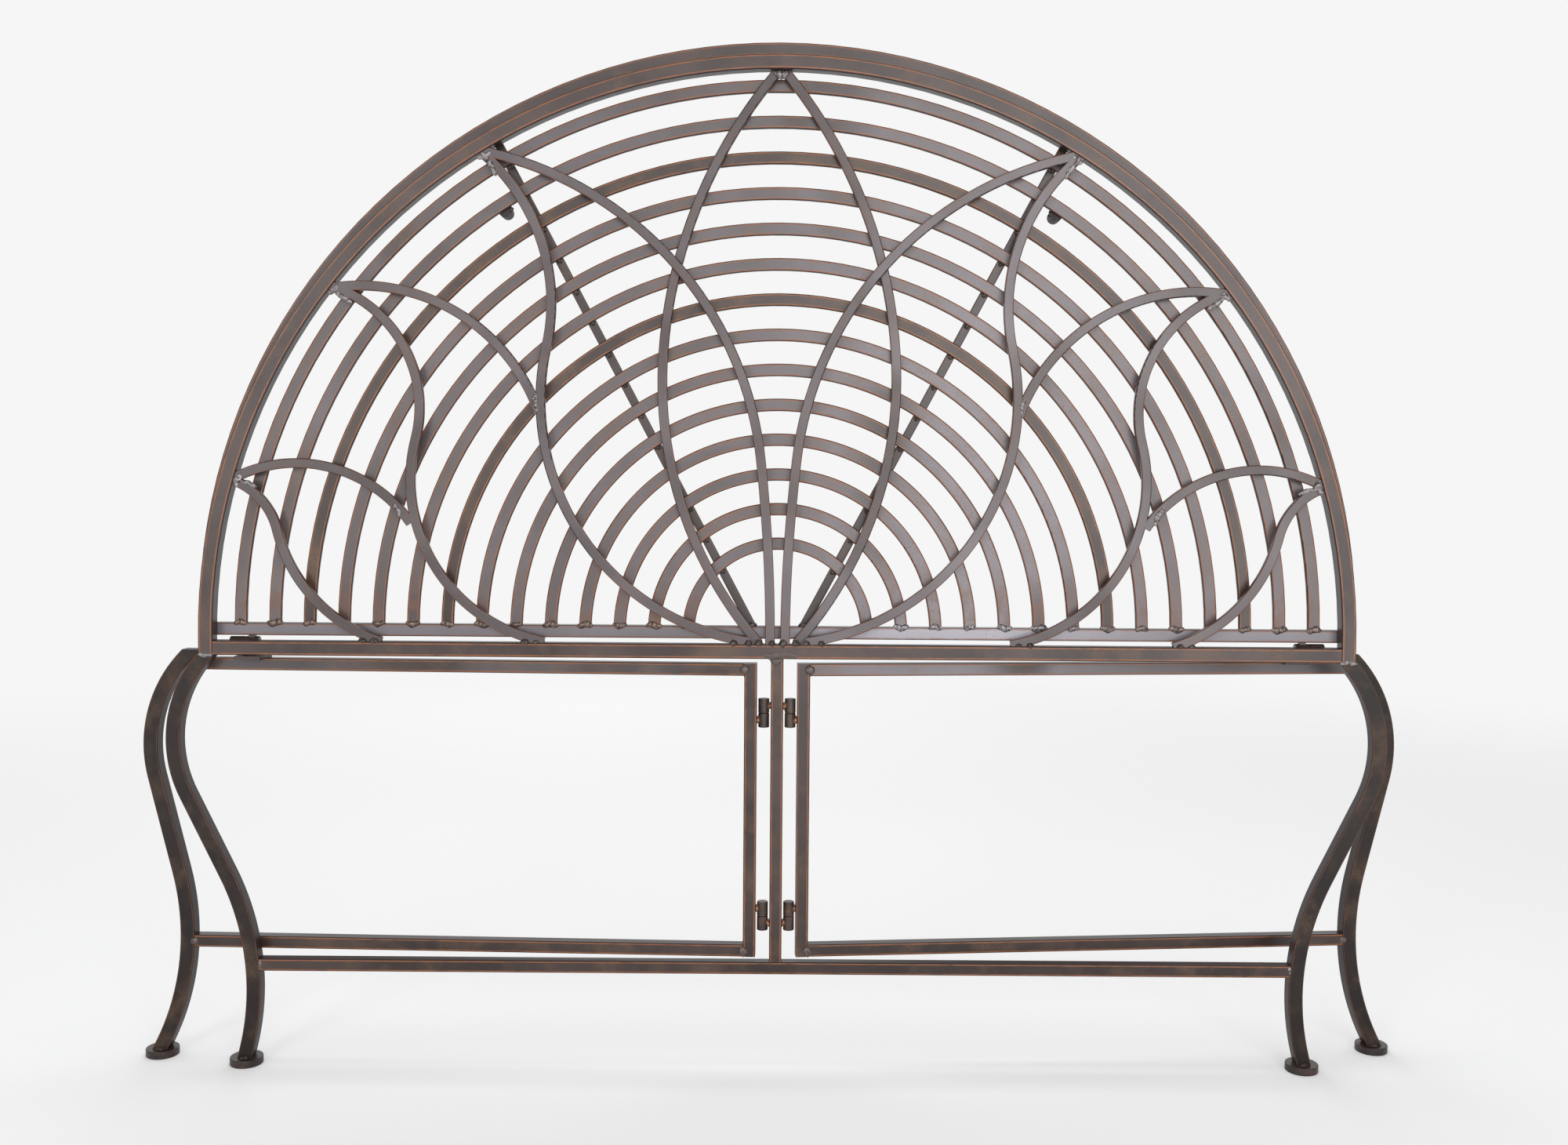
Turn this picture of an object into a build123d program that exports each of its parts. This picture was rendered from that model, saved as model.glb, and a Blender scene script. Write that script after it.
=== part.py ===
"""Folding half-round garden bench in painted steel bar, drawn folded flat.

Millimetres. +X is to the right, +Y is the side the seat folds out to, +Z is up.
Drawn with the floor at z = 0 and the middle plane of the back frame at y = 0, then
moved so that the origin lies under the middle of the folded bench.
"""
import os
from math import asin, atan2, cos, degrees, hypot, radians, sin, sqrt, tan

from build123d import *

# Bar stock
BAR = 15.0  # square bar of arch, rail and legs
THIN_BAR = 13.0  # square bar of posts, gate rails and seat frame
BAR_EDGE = 1.2
TRACERY_WIDTH = 10.0
TRACERY_DEPTH = 6.0
SLAT_WIDTH = 13.0
SLAT_DEPTH = 5.0
SLAT_EDGE = 1.5
ROD_WIDTH = 9.0  # bar that ties the slats

# Back frame
RAIL_TOP = 450.0
ARCH_RADIUS = 600.0  # outer edge
STRETCHER_TOP = 114.5
FOOT_DIAMETER = 34.0
FOOT_HEIGHT = 8.0
FOOT_EDGE = 1.0

# Frame leg, outer edge: widest point, narrowest point and the bends there
LEG_BULGE_OUT = 35.5  # beyond the arch
LEG_BULGE_DROP = 90.0  # below the leg top
LEG_BULGE_RADIUS = 140.0
LEG_WAIST_IN = 79.9  # inside the bulge
LEG_WAIST_Z = 85.0
LEG_WAIST_RADIUS = 270.0
LEG_END = 8.0  # height of the straight run at each end of a leg

# Gate leg, outer edge, measured out from the gate hinge axis
GATE_BULGE_OUT = 50.0  # beyond the seat rim
GATE_BULGE_DROP = 103.2  # below the leg top
GATE_BULGE_RADIUS = 145.0
GATE_WAIST_IN = 36.0  # inside the bulge
GATE_WAIST_Z = 137.0
GATE_WAIST_RADIUS = 265.0

# Gate frame
GATE_LIFT = 5.5  # stretcher to gate
GATE_HINGE_GAP = 1.55  # barrel to post
LEFT_GATE_REST = 2.0  # degrees ajar as drawn
RIGHT_GATE_REST = 5.0

# Barrel hinges
KNUCKLE_DIAMETER = 11.4
KNUCKLE_LENGTH = 15.0
KNUCKLE_EDGE = 0.7
KNUCKLE_GAP = 0.3
PIN_DIAMETER = 6.0
PIN_CLEARANCE = 0.05  # radial
LUG_LENGTH = 6.5
LUG_WIDTH = 6.0
LUG_GAP = 0.05  # lug end to the post it is welded to
UPPER_HINGE_DROP = 57.0  # below the rail
LOWER_HINGE_RISE = 48.5  # above the stretcher
SEAT_HINGE_INSET = 41.8  # in from the arch
SEAT_HINGE_GAP = 0.5  # barrel to rail
SEAT_AXIS_DROP = 3.0  # axis below the rail top

# Seat, folded up
SEAT_GAP = 1.5  # back frame to seat
SEAT_LIFT = 4.2  # rail top to seat bar
RIM_OVERHANG = 5.0  # rim outside the arch
SLAT_COUNT = 14
FIRST_SLAT_RADIUS = 93.3  # centreline
LAST_SLAT_INSET = 43.7  # rim outer edge to centreline
ROD_START_X = 23.8  # where a rod line meets the middle of the seat bar
ROD_ANGLE = 62.0  # degrees from the seat bar
ROD_CLEARANCE = 0.1  # slats to rods
ROD_RECESS = 0.9  # rods inside the seat frame's underside
STUD_DIAMETER = 13.0
STUD_LENGTH = 17.7
STUD_SLAT = 13  # slat the stud is welded to
STUD_INSET = 6.6  # in from the middle of that slat
STUD_ANGLE = 56.8  # degrees from the seat bar

# Lock tab on the gate top rail
TAB_THICKNESS = 4.0
TAB_LENGTH = 27.5
TAB_HOLE_CLEARANCE = 1.2  # radial, around the stud
TAB_HOLE_OFFSET = 17.0  # gate middle plane to hole
TAB_MARGIN = 11.5  # hole centre to outer edge
TAB_GAP = 1.0  # tab to the rail above
SEAT_REST_GAP = 0.5  # seat frame above the gate legs when down

# Tracery, right-hand side: start x, start height above the rail, heading, then
# (radius, turn) bends. Headings and turns are degrees from +X towards +Z. Lengths
# are for a window of this radius inside the arch and grow with it.
TRACERY_WINDOW = 585.0
CENTRE_PETAL = (19.5, 0.0, 49.0, ((412.0, 43.5), (490.0, 42.0)))
HIGH_PETAL_INNER = (7.75, 0.0, 90.0, ((1700.0, -6.5), (356.0, -74.0)))
HIGH_PETAL_OUTER = (20.0, 1.5, 5.5, ((249.0, 97.5), (196.0, -66.0)))
MIDDLE_PETAL_UPPER = (247.0, 238.0, 70.5, ((191.0, -84.0),))
MIDDLE_PETAL_LOWER = (242.0, 1.0, 10.5, ((168.0, 94.5), (128.0, -92.0)))
LOW_PETAL_UPPER = (379.5, 123.0, 55.2, ((142.0, -87.0),))
LOW_PETAL_LOWER = (411.0, 0.0, 17.5, ((158.0, 59.5), (71.0, -65.0)))

# Levels and offsets that follow from the sizes above
SPAN = 4 * ARCH_RADIUS
RAIL_BOTTOM = RAIL_TOP - BAR
ARCH_MIDDLE = ARCH_RADIUS - BAR / 2
WINDOW = ARCH_RADIUS - BAR
LEG_BULGE_X = ARCH_RADIUS + LEG_BULGE_OUT
RIM_RADIUS = ARCH_RADIUS + RIM_OVERHANG
GATE_BULGE_X = RIM_RADIUS + GATE_BULGE_OUT
GATE_WAIST_X = GATE_BULGE_X - GATE_WAIST_IN
GATE_BOTTOM = STRETCHER_TOP + GATE_LIFT
GATE_TOP = RAIL_BOTTOM - TAB_GAP - TAB_THICKNESS
GATE_AXIS_X = THIN_BAR / 2 + GATE_HINGE_GAP + KNUCKLE_DIAMETER / 2
POST_MIDDLE = 2 * GATE_AXIS_X
UPPER_HINGE_Z = RAIL_BOTTOM - UPPER_HINGE_DROP
LOWER_HINGE_Z = STRETCHER_TOP + LOWER_HINGE_RISE
SEAT_HINGE_X = ARCH_RADIUS - SEAT_HINGE_INSET
SLAT_PITCH = (RIM_RADIUS - LAST_SLAT_INSET - FIRST_SLAT_RADIUS) / (SLAT_COUNT - 1)
SEAT_AXIS_Y = BAR / 2 + SEAT_HINGE_GAP + KNUCKLE_DIAMETER / 2
SEAT_AXIS_Z = RAIL_TOP - SEAT_AXIS_DROP
SEAT_FRONT = BAR / 2 + SEAT_GAP
SEAT_MIDDLE = SEAT_FRONT + THIN_BAR / 2
SEAT_BAR_BOTTOM = RAIL_TOP + SEAT_LIFT
SEAT_BAR_TOP = SEAT_BAR_BOTTOM + THIN_BAR
SEAT_CENTRE_Z = SEAT_BAR_BOTTOM + THIN_BAR / 2
SLAT_BACK = SEAT_FRONT + SLAT_DEPTH
STUD_RADIUS = FIRST_SLAT_RADIUS + (STUD_SLAT - 1) * SLAT_PITCH - STUD_INSET
STUD_X = STUD_RADIUS * cos(radians(STUD_ANGLE))
STUD_Z = SEAT_CENTRE_Z + STUD_RADIUS * sin(radians(STUD_ANGLE))
SEAT_UNDERSIDE = SEAT_AXIS_Z - (SEAT_FRONT + THIN_BAR - SEAT_AXIS_Y)
GATE_LEG_TOP = SEAT_UNDERSIDE - SEAT_REST_GAP

# With the seat down each stud stands in its tab hole when the gate is open
STUD_DOWN_X = STUD_X - GATE_AXIS_X
STUD_DOWN_Y = SEAT_AXIS_Y + STUD_Z - SEAT_AXIS_Z
STUD_REACH = hypot(STUD_DOWN_X, STUD_DOWN_Y)
GATE_OPEN = degrees(atan2(STUD_DOWN_Y, STUD_DOWN_X) + asin(TAB_HOLE_OFFSET / STUD_REACH))
TAB_MIDDLE = sqrt(STUD_REACH**2 - TAB_HOLE_OFFSET**2)


def bent_bar(start, heading, bends, width=BAR, depth=BAR, edge=BAR_EDGE, y=0.0):
    """Bar bent in an XZ plane; a bend is (radius, turn), a straight run (length, 0)."""
    x, z = start
    pieces = []
    for size, turn in bends:
        ahead = Vector(cos(radians(heading)), 0, sin(radians(heading)))
        plane = Plane((x, y, z), x_dir=(0, 1, 0), z_dir=ahead)
        section = plane * RectangleRounded(depth, width, edge)
        if turn == 0:
            pieces.append(extrude(section, amount=size))
            x += size * ahead.X
            z += size * ahead.Z
            continue
        side = 1 if turn > 0 else -1
        centre_x = x - side * size * ahead.Z
        centre_z = z + side * size * ahead.X
        axis = Axis((centre_x, y, centre_z), (0, -side, 0))
        pieces.append(revolve(section, axis, abs(turn)))
        heading += turn
        x = centre_x + side * size * sin(radians(heading))
        z = centre_z - side * size * cos(radians(heading))
    bar = pieces[0]
    for piece in pieces[1:]:
        bar += piece
    return bar


def level_bar(x_from, x_to, z, size, y=0.0):
    """Straight square bar along X with its middle at height z."""
    return bent_bar((x_from, z), 0.0, ((x_to - x_from, 0),), size, size, BAR_EDGE, y)


def upright_bar(x, z_from, z_to, size, y=0.0):
    """Straight square bar along Z with its middle at x."""
    return bent_bar((x, z_from), 90.0, ((z_to - z_from, 0),), size, size, BAR_EDGE, y)


def between(part, low, high):
    """The part of a bar between two heights."""
    return part & Pos(0, 0, (low + high) / 2) * Box(SPAN, SPAN, high - low)


def largest(part):
    """The largest solid left by a cut."""
    return part.solids().sort_by(SortBy.VOLUME)[-1]


def half_ring(radius, centre_z, low, width, depth, edge, y):
    """Half-round bar of a given centreline radius, cut off level at the bottom."""
    ring = bent_bar((radius, centre_z), 90.0, ((radius, 180.0),), width, depth, edge, y)
    return between(ring, low, centre_z + 2 * radius)


def s_leg(bulge_x, bulge_drop, bulge_radius, waist_x, waist_z, waist_radius, top):
    """S-bent leg and the x of its foot; the two bends join along their inner tangent."""
    bend_out = bulge_radius - BAR / 2
    bend_in = waist_radius + BAR / 2
    middle_bulge = bulge_x - BAR / 2
    middle_waist = waist_x - BAR / 2
    across = middle_waist + bend_in - middle_bulge + bend_out
    down = top - bulge_drop - waist_z
    straight = sqrt(across**2 + down**2 - (bend_out + bend_in) ** 2)
    lean = degrees(atan2(down, across) - atan2(straight, bend_out + bend_in))
    rise = asin((bulge_drop - LEG_END) / bend_out)
    kick = asin((waist_z - FOOT_HEIGHT - LEG_END) / bend_in)
    run = 2 * LEG_END + BAR
    start = (
        middle_bulge - bend_out + bend_out * cos(rise) - run * sin(rise),
        top - LEG_END + run * cos(rise),
    )
    turn_out = -degrees(rise) - lean
    turn_in = lean + degrees(kick)
    bends = ((run, 0), (bend_out, turn_out), (straight, 0), (bend_in, turn_in), (run, 0))
    leg = between(bent_bar(start, degrees(rise) - 90.0, bends), FOOT_HEIGHT, top)
    foot_x = middle_waist + bend_in - bend_in * cos(kick) + LEG_END * tan(kick)
    return leg, foot_x


def foot(x):
    """Round foot standing on the floor."""
    disc = Pos(x, 0, FOOT_HEIGHT / 2) * Cylinder(FOOT_DIAMETER / 2, FOOT_HEIGHT)
    return fillet(disc.edges().filter_by(GeomType.CIRCLE), FOOT_EDGE)


def knuckle(centre, axis_dir, lug_dir, lug_reach):
    """Hinge barrel with its weld lug, the lug reaching out from the axis."""
    plane = Plane(centre, x_dir=lug_dir, z_dir=axis_dir)
    barrel = Cylinder(KNUCKLE_DIAMETER / 2, KNUCKLE_LENGTH)
    barrel = fillet(barrel.edges().filter_by(GeomType.CIRCLE), KNUCKLE_EDGE)
    barrel += Pos(lug_reach / 2, 0, 0) * Box(lug_reach, LUG_WIDTH, LUG_LENGTH)
    barrel -= Cylinder(PIN_DIAMETER / 2 + PIN_CLEARANCE, KNUCKLE_LENGTH)
    return plane * barrel


def pin(centre, axis_dir):
    """Hinge pin as long as the two barrels it joins."""
    return Plane(centre, z_dir=axis_dir) * Cylinder(PIN_DIAMETER / 2, 2 * KNUCKLE_LENGTH + KNUCKLE_GAP)


def tracery(curve, layer):
    """Tracery bar trimmed to the window inside the arch and above the rail."""
    x, height, heading, bends = curve
    grow = WINDOW / TRACERY_WINDOW
    start = (grow * x, RAIL_TOP + grow * height)
    bends = [(grow * radius, turn) for radius, turn in bends]
    y = layer * TRACERY_DEPTH / 2
    bar = bent_bar(start, heading, bends, TRACERY_WIDTH, TRACERY_DEPTH, BAR_EDGE, y)
    disc = Pos(0, 0, RAIL_TOP) * Rot(90, 0, 0) * Cylinder(WINDOW, 2 * BAR)
    return between(bar & disc, RAIL_TOP, RAIL_TOP + ARCH_RADIUS)


def mirrored(part):
    """The same piece on the other side of the bench."""
    return mirror(part, about=Plane.YZ)


def pair(part):
    """A piece and its mirror image as one shape."""
    return Compound(children=[*part.solids(), *mirrored(part).solids()])


parts = {}

# Back frame
leg, foot_x = s_leg(
    LEG_BULGE_X,
    LEG_BULGE_DROP,
    LEG_BULGE_RADIUS,
    LEG_BULGE_X - LEG_WAIST_IN,
    LEG_WAIST_Z,
    LEG_WAIST_RADIUS,
    RAIL_BOTTOM,
)
stretcher_z = STRETCHER_TOP - THIN_BAR / 2
arch_bends = ((BAR, 0), (ARCH_MIDDLE, 180.0), (BAR, 0))
parts["back_arch"] = bent_bar((ARCH_MIDDLE, RAIL_BOTTOM), 90.0, arch_bends)
parts["back_rail"] = level_bar(-WINDOW, WINDOW, RAIL_TOP - BAR / 2, BAR)
parts["centre_post"] = upright_bar(0.0, STRETCHER_TOP, RAIL_BOTTOM, THIN_BAR)
parts["stretcher"] = largest(level_bar(-foot_x, foot_x, stretcher_z, THIN_BAR) - leg - mirrored(leg))
parts["right_leg"] = leg
parts["left_leg"] = mirrored(leg)
parts["frame_feet"] = pair(foot(foot_x))

# Tracery: the centre petal lies behind, every other bar in front
centre_petal = tracery(CENTRE_PETAL, 1)
centre_petal &= Pos(SPAN / 2, 0, 0) * Box(SPAN, SPAN, SPAN)
centre_shadow = tracery(CENTRE_PETAL, -1)
high_inner = tracery(HIGH_PETAL_INNER, -1)
high_outer = largest(tracery(HIGH_PETAL_OUTER, -1) - high_inner - centre_shadow)
middle_upper = largest(tracery(MIDDLE_PETAL_UPPER, -1) - high_outer)
middle_lower = largest(tracery(MIDDLE_PETAL_LOWER, -1) - middle_upper)
low_upper = largest(tracery(LOW_PETAL_UPPER, -1) - middle_lower)
low_lower = largest(tracery(LOW_PETAL_LOWER, -1) - low_upper)
tracery_bars = {
    "centre_petal": centre_petal,
    "high_petal_inner": high_inner,
    "high_petal_outer": high_outer,
    "middle_petal_upper": middle_upper,
    "middle_petal_lower": middle_lower,
    "low_petal_upper": low_upper,
    "low_petal_lower": low_lower,
}
for name, bar in tracery_bars.items():
    parts["right_" + name] = bar
    parts["left_" + name] = mirrored(bar)

# Barrel hinges between the centre post and the gates
knuckle_step = (KNUCKLE_LENGTH + KNUCKLE_GAP) / 2
post_lug = GATE_AXIS_X - THIN_BAR / 2 - LUG_GAP
frame_heights = (UPPER_HINGE_Z + knuckle_step, LOWER_HINGE_Z - knuckle_step)
gate_heights = (UPPER_HINGE_Z - knuckle_step, LOWER_HINGE_Z + knuckle_step)
frame_barrels = [knuckle((GATE_AXIS_X, 0, z), (0, 0, 1), (-1, 0, 0), post_lug) for z in frame_heights]
gate_barrels = [knuckle((GATE_AXIS_X, 0, z), (0, 0, 1), (1, 0, 0), post_lug) for z in gate_heights]
gate_pins = [pin((GATE_AXIS_X, 0, z), (0, 0, 1)) for z in (UPPER_HINGE_Z, LOWER_HINGE_Z)]
parts["gate_hinge_barrels"] = pair(Compound(children=frame_barrels))
parts["gate_hinge_pins"] = pair(Compound(children=gate_pins))

# Seat hinge: outer barrels on the rail, inner barrels on the seat bar
outer_barrel = (SEAT_HINGE_X + knuckle_step, SEAT_AXIS_Y, SEAT_AXIS_Z)
inner_barrel = (SEAT_HINGE_X - knuckle_step, SEAT_AXIS_Y, SEAT_AXIS_Z)
rail_lug = SEAT_AXIS_Y - BAR / 2
seat_lug = SEAT_BAR_BOTTOM - SEAT_AXIS_Z
parts["rail_hinge_barrels"] = pair(knuckle(outer_barrel, (1, 0, 0), (0, -1, 0), rail_lug))
parts["seat_hinge_barrels"] = pair(knuckle(inner_barrel, (1, 0, 0), (0, 0, 1), seat_lug))
parts["seat_hinge_pins"] = pair(pin((SEAT_HINGE_X, SEAT_AXIS_Y, SEAT_AXIS_Z), (1, 0, 0)))

# Seat
rod_depth = THIN_BAR - SLAT_DEPTH - ROD_CLEARANCE - ROD_RECESS
rod_y = SLAT_BACK + ROD_CLEARANCE + rod_depth / 2
rod_start = (ROD_START_X, SEAT_CENTRE_Z)
rod = bent_bar(rod_start, ROD_ANGLE, ((RIM_RADIUS, 0),), ROD_WIDTH, rod_depth, BAR_EDGE, rod_y)
rim_hole = Pos(0, 0, SEAT_CENTRE_Z) * Rot(90, 0, 0) * Cylinder(RIM_RADIUS - THIN_BAR, 4 * THIN_BAR)
rod = between(rod & Pos(0, SEAT_MIDDLE, 0) * rim_hole, SEAT_BAR_TOP, SEAT_BAR_TOP + RIM_RADIUS)
stud = Plane((STUD_X, SLAT_BACK, STUD_Z), z_dir=(0, 1, 0)) * Cylinder(
    STUD_DIAMETER / 2, STUD_LENGTH, align=(Align.CENTER, Align.CENTER, Align.MIN)
)
rim_middle = RIM_RADIUS - THIN_BAR / 2
parts["seat_bar"] = level_bar(-RIM_RADIUS, RIM_RADIUS, SEAT_CENTRE_Z, THIN_BAR, SEAT_MIDDLE)
parts["seat_rim"] = half_ring(
    rim_middle, SEAT_CENTRE_Z, SEAT_BAR_TOP, THIN_BAR, THIN_BAR, BAR_EDGE, SEAT_MIDDLE
)
for index in range(SLAT_COUNT):
    radius = FIRST_SLAT_RADIUS + index * SLAT_PITCH
    parts[f"slat_{index + 1:02d}"] = half_ring(
        radius, SEAT_CENTRE_Z, SEAT_BAR_TOP, SLAT_WIDTH, SLAT_DEPTH, SLAT_EDGE, SEAT_FRONT + SLAT_DEPTH / 2
    )
parts["right_rod"] = rod
parts["left_rod"] = mirrored(rod)
parts["seat_studs"] = pair(stud)

# Gates, drawn shut on the right-hand side and then set ajar
gate_leg, gate_foot_x = s_leg(
    GATE_BULGE_X,
    GATE_BULGE_DROP,
    GATE_BULGE_RADIUS,
    GATE_WAIST_X,
    GATE_WAIST_Z,
    GATE_WAIST_RADIUS,
    GATE_LEG_TOP,
)
gate_leg = Pos(GATE_AXIS_X, 0, 0) * gate_leg
post_face = POST_MIDDLE + THIN_BAR / 2
top_rail_z = GATE_TOP - THIN_BAR / 2
bottom_rail_z = GATE_BOTTOM + THIN_BAR / 2
leg_reach = GATE_AXIS_X + GATE_WAIST_X - BAR / 2
tab_width = TAB_HOLE_OFFSET + TAB_MARGIN + THIN_BAR / 2
tab_at = Pos(GATE_AXIS_X + TAB_MIDDLE, 0, GATE_TOP + TAB_THICKNESS / 2)
tab = tab_at * Pos(0, THIN_BAR / 2 - tab_width / 2, 0) * Box(TAB_LENGTH, tab_width, TAB_THICKNESS)
tab = fillet(tab.edges().filter_by(Axis.Z), BAR_EDGE)
tab -= tab_at * Pos(0, -TAB_HOLE_OFFSET, 0) * Cylinder(STUD_DIAMETER / 2 + TAB_HOLE_CLEARANCE, BAR)
gate = {
    "gate_post": upright_bar(POST_MIDDLE, GATE_BOTTOM, GATE_TOP, THIN_BAR),
    "gate_top_rail": largest(level_bar(post_face, leg_reach, top_rail_z, THIN_BAR) - gate_leg),
    "gate_bottom_rail": largest(level_bar(post_face, leg_reach, bottom_rail_z, THIN_BAR) - gate_leg),
    "gate_leg": gate_leg,
    "gate_foot": foot(GATE_AXIS_X + gate_foot_x),
    "gate_tab": tab,
    "gate_barrels": Compound(children=gate_barrels),
}
gate_axis = Axis((GATE_AXIS_X, 0, 0), (0, 0, 1))
for name, piece in gate.items():
    parts["right_" + name] = piece.rotate(gate_axis, RIGHT_GATE_REST)
    parts["left_" + name] = mirrored(piece.rotate(gate_axis, LEFT_GATE_REST))

# The origin is on the floor under the middle of the folded bench
box = Compound(children=[solid for part in parts.values() for solid in part.solids()]).bounding_box()
to_origin = Pos(-box.center().X, -box.center().Y, -box.min.Z)

os.makedirs("parts", exist_ok=True)
for name, part in parts.items():
    export_step(to_origin * part, f"parts/{name}.step")
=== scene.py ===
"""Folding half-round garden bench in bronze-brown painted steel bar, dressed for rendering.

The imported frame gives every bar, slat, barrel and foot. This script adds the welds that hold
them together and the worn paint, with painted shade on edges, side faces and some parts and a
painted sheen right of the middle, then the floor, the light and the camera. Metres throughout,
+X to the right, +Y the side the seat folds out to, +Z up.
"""
from math import cos, radians, sin

import bpy
import numpy as np
from mathutils import Matrix, Vector


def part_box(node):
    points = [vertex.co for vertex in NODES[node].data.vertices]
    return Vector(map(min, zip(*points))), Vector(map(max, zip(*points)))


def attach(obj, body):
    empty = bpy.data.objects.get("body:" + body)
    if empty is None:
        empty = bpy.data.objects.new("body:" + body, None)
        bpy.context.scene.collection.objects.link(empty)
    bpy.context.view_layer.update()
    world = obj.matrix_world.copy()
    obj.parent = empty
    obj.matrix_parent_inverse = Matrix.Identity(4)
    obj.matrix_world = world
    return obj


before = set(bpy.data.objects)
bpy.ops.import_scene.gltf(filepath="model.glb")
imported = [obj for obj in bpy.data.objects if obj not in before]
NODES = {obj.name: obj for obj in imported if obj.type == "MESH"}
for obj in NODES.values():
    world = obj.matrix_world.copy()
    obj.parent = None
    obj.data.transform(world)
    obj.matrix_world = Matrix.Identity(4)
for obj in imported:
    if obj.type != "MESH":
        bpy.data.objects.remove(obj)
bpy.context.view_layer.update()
MM = 0.001


def mm(*sizes):
    """Sizes given in millimetres, as metres."""
    return tuple(size * MM for size in sizes)


# Places read from the frame

def low(node):
    return np.array(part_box(node)[0])


def high(node):
    return np.array(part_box(node)[1])


def middle(node):
    return 0.5 * (low(node) + high(node))


def half_size(node):
    return 0.5 * (high(node) - low(node))


MIDDLE_X = middle("back_arch")[0]
FRAME_Y = middle("back_arch")[1]
FRAME_FRONT = low("back_rail")[1]
RAIL_TOP = high("back_rail")[2]
RAIL_BOTTOM = low("back_rail")[2]
BAR = RAIL_TOP - RAIL_BOTTOM
THIN_BAR = high("stretcher")[2] - low("stretcher")[2]
WINDOW = half_size("back_arch")[0] - BAR
ARCH_RADIUS = WINDOW + 0.5 * BAR
TRACERY_FRONT = low("right_high_petal_outer")[1]
SEAT_FRONT = low("seat_bar")[1]
SEAT_BAR_TOP = high("seat_bar")[2]
SEAT_BAR_HALF = half_size("seat_bar")[2]
SEAT_CENTRE_Z = middle("seat_bar")[2]
RIM_RADIUS = high("seat_rim")[0] - MIDDLE_X - SEAT_BAR_HALF
SLATS = [name for name in sorted(NODES) if name.startswith("slat_")]
SLAT_HALF = 6.5 * MM
SLAT_RADII = np.array([high(name)[2] - SEAT_CENTRE_Z - SLAT_HALF for name in SLATS])
SLAT_PITCH = (SLAT_RADII[-1] - SLAT_RADII[0]) / (len(SLATS) - 1)
SLAT_BACK = high(SLATS[0])[1]


# Weld beads

# Rings along a bead, points round each ring, and the turn by which the end rings stop short of a tip
STATIONS = 22
AROUND = 14
END_TURN = 0.06
# How much beads differ in size, and how uneven each is
GROWTH = (0.85, 1.18)
LUMP = 0.38
RIPPLE = 0.10
FINE_RIPPLE = 0.06


def unit(vectors):
    """Each row divided by its length."""
    vectors = np.atleast_2d(np.asarray(vectors, float))
    return vectors / np.linalg.norm(vectors, axis=1, keepdims=True)


def beads(centres, along, out, size, *, seed, lobes=2.0, wander=0.12):
    """Lumpy weld beads, one for each row of centres; size is their length, width and height.

    A bead is an ellipse carried along a short line. At station s, from -1 to 1, the ellipse
    has half-width w = width / 2 * e and height h = height * e * (1 + 0.38 cos(pi lobes s + p)),
    with the envelope e = sqrt(1 - s^2) and a phase p of its own. With a the angle round the ellipse,
    ripples of sin(5 s + 3 a + p) and sin(11 s - 2 a + 2 p) roughen it. The line wanders sideways by
    wander * width. The lower half sinks into the bar.
    """
    centres = np.atleast_2d(np.asarray(centres, float))
    count = len(centres)
    length, width, height = size
    dice = np.random.default_rng(seed)
    phase = dice.uniform(0.0, 2.0 * np.pi, (count, 1, 1))
    grow = dice.uniform(*GROWTH, (count, 1, 1))
    along = np.broadcast_to(unit(along), (count, 3))
    out = np.broadcast_to(unit(out), (count, 3))
    side = np.cross(along, out)
    s = np.cos(np.linspace(END_TURN, np.pi - END_TURN, STATIONS))[None, :, None]
    a = np.linspace(0.0, 2.0 * np.pi, AROUND, endpoint=False)[None, None, :]
    envelope = np.sqrt(1.0 - s**2)
    coarse = RIPPLE * np.sin(5.0 * s + 3.0 * a + phase)
    fine = FINE_RIPPLE * np.sin(11.0 * s - 2.0 * a + 2.0 * phase)
    ripple = 1.0 + coarse + fine
    lump = 1.0 + LUMP * np.cos(np.pi * lobes * s + phase * (lobes > 0))
    sway = wander * width * np.sin(3.0 * s + phase)
    across = 0.5 * width * grow * envelope * ripple * np.cos(a) + sway
    rise = height * grow * envelope * lump * ripple * np.sin(a)
    run = 0.5 * length * grow * s + 0.0 * a
    return (
        centres[:, None, None, :]
        + run[..., None] * along[:, None, None, :]
        + across[..., None] * side[:, None, None, :]
        + rise[..., None] * out[:, None, None, :]
    )


def ring_quads(rings, steps):
    """Corners of the quads between rings of so many points each, numbered ring after ring."""
    ring, step = np.meshgrid(np.arange(rings - 1), np.arange(steps), indexing="ij")
    ring, step = ring.ravel(), step.ravel()
    following = (step + 1) % steps
    near, far = ring * steps, (ring + 1) * steps
    return np.stack([near + step, near + following, far + following, far + step], 1)


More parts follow.
